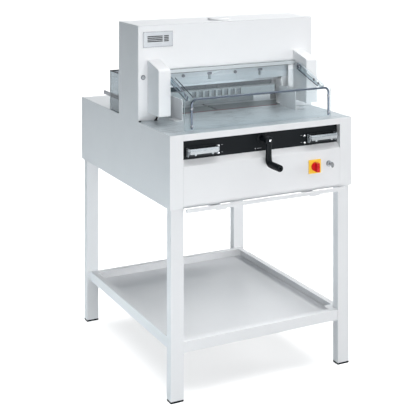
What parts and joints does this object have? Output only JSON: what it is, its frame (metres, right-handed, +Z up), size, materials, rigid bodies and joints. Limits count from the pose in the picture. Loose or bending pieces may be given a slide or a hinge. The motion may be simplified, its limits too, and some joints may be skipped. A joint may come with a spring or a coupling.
{
  "type": "electric paper guillotine",
  "caption": "Floor-standing electric paper cutter: swing-cut blade and screw clamp in a tower over a steel table, crank-driven backgauge, clear front guard, four-legged stand with shelf.",
  "frame": {"origin": "on the floor, in the middle of the machine's footprint, handle included", "axes": "+Z up, +Y from the operator to the back of the machine, +X to the operator's right"},
  "size_m": [0.76, 0.988, 1.2985],
  "materials": {
    "white_paint": "fine satin powder coat",
    "grey_paint": "satin",
    "black_paint": "satin",
    "black_plastic": "matt",
    "table_steel": "ground",
    "bright_steel": "polished",
    "dark_steel": "oiled",
    "cast_iron": "rough cast",
    "red_plastic": "gloss",
    "yellow_plastic": "gloss",
    "clear_sheet": "clear",
    "plate_print": "gloss"
  },
  "bodies": {
    "machine": {"chassis": "grey_paint", "clamp_gearmotor": "black_paint", "control_bracket_left": "bright_steel", "control_bracket_right": "bright_steel", "control_fascia": "black_paint", "cut_light_rail": "white_paint", "cutting_stick": "red_plastic", "drive_gearbox": "cast_iron", "drive_motor": "black_paint", "foot_front_left": "black_plastic", "foot_front_right": "black_plastic", "foot_rear_left": "black_plastic", "foot_rear_right": "black_plastic", "front_cover": "white_paint", "front_table": "table_steel", "guard_bearing_left": "white_paint", "guard_bearing_right": "white_paint", "key_barrel": "bright_steel", "leg_front_left": "white_paint", "leg_front_right": "white_paint", "leg_rear_left": "white_paint", "leg_rear_right": "white_paint", "machine_frame": "cast_iron", "main_switch_body": "yellow_plastic", "name_plate": "plate_print", "rear_cover": "white_paint", "rear_guard": "clear_sheet", "rear_table": "table_steel", "shelf_tray": "white_paint", "side_cover_left": "white_paint", "side_cover_right": "white_paint", "side_lay_left": "grey_paint", "side_lay_right": "grey_paint", "table_front_trim": "white_paint", "top_cap": "white_paint", "tower_front_cover": "white_paint", "tower_hood": "white_paint"},
    "front_guard": {"guard_panel": "clear_sheet", "guard_wire": "bright_steel", "guard_arm_left": "bright_steel", "guard_arm_right": "bright_steel"},
    "blade_unit": {"blade_carrier": "grey_paint", "blade": "bright_steel", "blade_bolt_1": "dark_steel", "blade_bolt_2": "dark_steel"},
    "pull_rod": {"pull_rod": "dark_steel"},
    "drive_crank": {"drive_crank": "dark_steel"},
    "clamp": {"clamp_beam": "grey_paint"},
    "clamp_spindle": {"clamp_spindle": "bright_steel"},
    "backgauge": {"backgauge": "grey_paint", "backgauge_carriage": "dark_steel"},
    "backgauge_crank": {"lead_screw": "bright_steel", "crank_arm": "black_plastic"},
    "crank_grip": {"crank_grip": "black_plastic"},
    "control_bar_left": {"control_bar_left": "bright_steel"},
    "control_bar_right": {"control_bar_right": "bright_steel"},
    "main_switch_knob": {"main_switch_knob": "red_plastic"},
    "key": {"key": "bright_steel"},
    "cut_light_button": {"cut_light_button": "bright_steel"},
    "clamp_press_bar": {"clamp_press_bar": "white_paint"}
  },
  "joints": [
    {"name": "guard_tilt", "type": "hinge", "parent": "machine", "child": "front_guard", "pos_m": [0, -0.159, 1.105], "axis": [-1, 0, 0], "range_deg": [0, 80]},
    {"name": "drive_crank_turn", "type": "hinge", "parent": "machine", "child": "drive_crank", "pos_m": [-0.3, -0.0419, 0.7748], "axis": [1, 0, 0], "range_deg": [0, 180]},
    {"name": "blade_cut", "type": "slide", "parent": "machine", "child": "blade_unit", "axis": [0.3299, 0, -0.944], "range_m": [0, 0.10911]},
    {"name": "pull_rod_swing", "type": "hinge", "parent": "blade_unit", "child": "pull_rod", "pos_m": [-0.334, -0.0419, 1.075], "axis": [0, 1, 0], "range_deg": [0, 8.3]},
    {"name": "clamp_spindle_turn", "type": "hinge", "parent": "machine", "child": "clamp_spindle", "pos_m": [0, -0.011, 1.125], "axis": [0, 0, 1], "range_deg": [-2880, 2520]},
    {"name": "clamp_travel", "type": "slide", "parent": "machine", "child": "clamp", "axis": [0, 0, 1], "range_m": [-0.04, 0.035]},
    {"name": "backgauge_crank_turn", "type": "hinge", "parent": "machine", "child": "backgauge_crank", "pos_m": [0, -0.384, 0.887], "axis": [0, 1, 0], "range_deg": [-3960, 10440]},
    {"name": "backgauge_travel", "type": "slide", "parent": "machine", "child": "backgauge", "axis": [0, 1, 0], "range_m": [-0.11, 0.29]},
    {"name": "crank_grip_spin", "type": "hinge", "parent": "backgauge_crank", "child": "crank_grip", "pos_m": [0, -0.418, 0.803], "axis": [0, 1, 0], "continuous": true},
    {"name": "control_bar_left_press", "type": "hinge", "parent": "machine", "child": "control_bar_left", "pos_m": [-0.248, -0.378, 0.8745], "axis": [1, 0, 0], "range_deg": [0, 7]},
    {"name": "control_bar_right_press", "type": "hinge", "parent": "machine", "child": "control_bar_right", "pos_m": [0.2535, -0.378, 0.8745], "axis": [1, 0, 0], "range_deg": [0, 7]},
    {"name": "main_switch_turn", "type": "hinge", "parent": "machine", "child": "main_switch_knob", "pos_m": [0.2135, -0.396, 0.7645], "axis": [0, 1, 0], "range_deg": [0, 90]},
    {"name": "key_turn", "type": "hinge", "parent": "machine", "child": "key", "pos_m": [0.276, -0.394, 0.769], "axis": [0, 1, 0], "range_deg": [0, 90]},
    {"name": "cut_light_button_press", "type": "slide", "parent": "machine", "child": "cut_light_button", "axis": [0, 1, 0], "range_m": [0, 0.002]},
    {"name": "clamp_press_bar_push", "type": "hinge", "parent": "machine", "child": "clamp_press_bar", "pos_m": [0, -0.254, 0.662], "axis": [1, 0, 0], "range_deg": [0, 8]}
  ],
  "couplings": [
    {"joint": "drive_crank_turn", "follows": "blade_cut", "rad_per_m": 28.793},
    {"joint": "pull_rod_swing", "follows": "blade_cut", "rad_per_m": 1.3244},
    {"joint": "clamp_spindle_turn", "follows": "clamp_travel", "rad_per_m": 1256.6},
    {"joint": "backgauge_travel", "follows": "backgauge_crank_turn", "m_per_rad": 0.0015915}
  ]
}
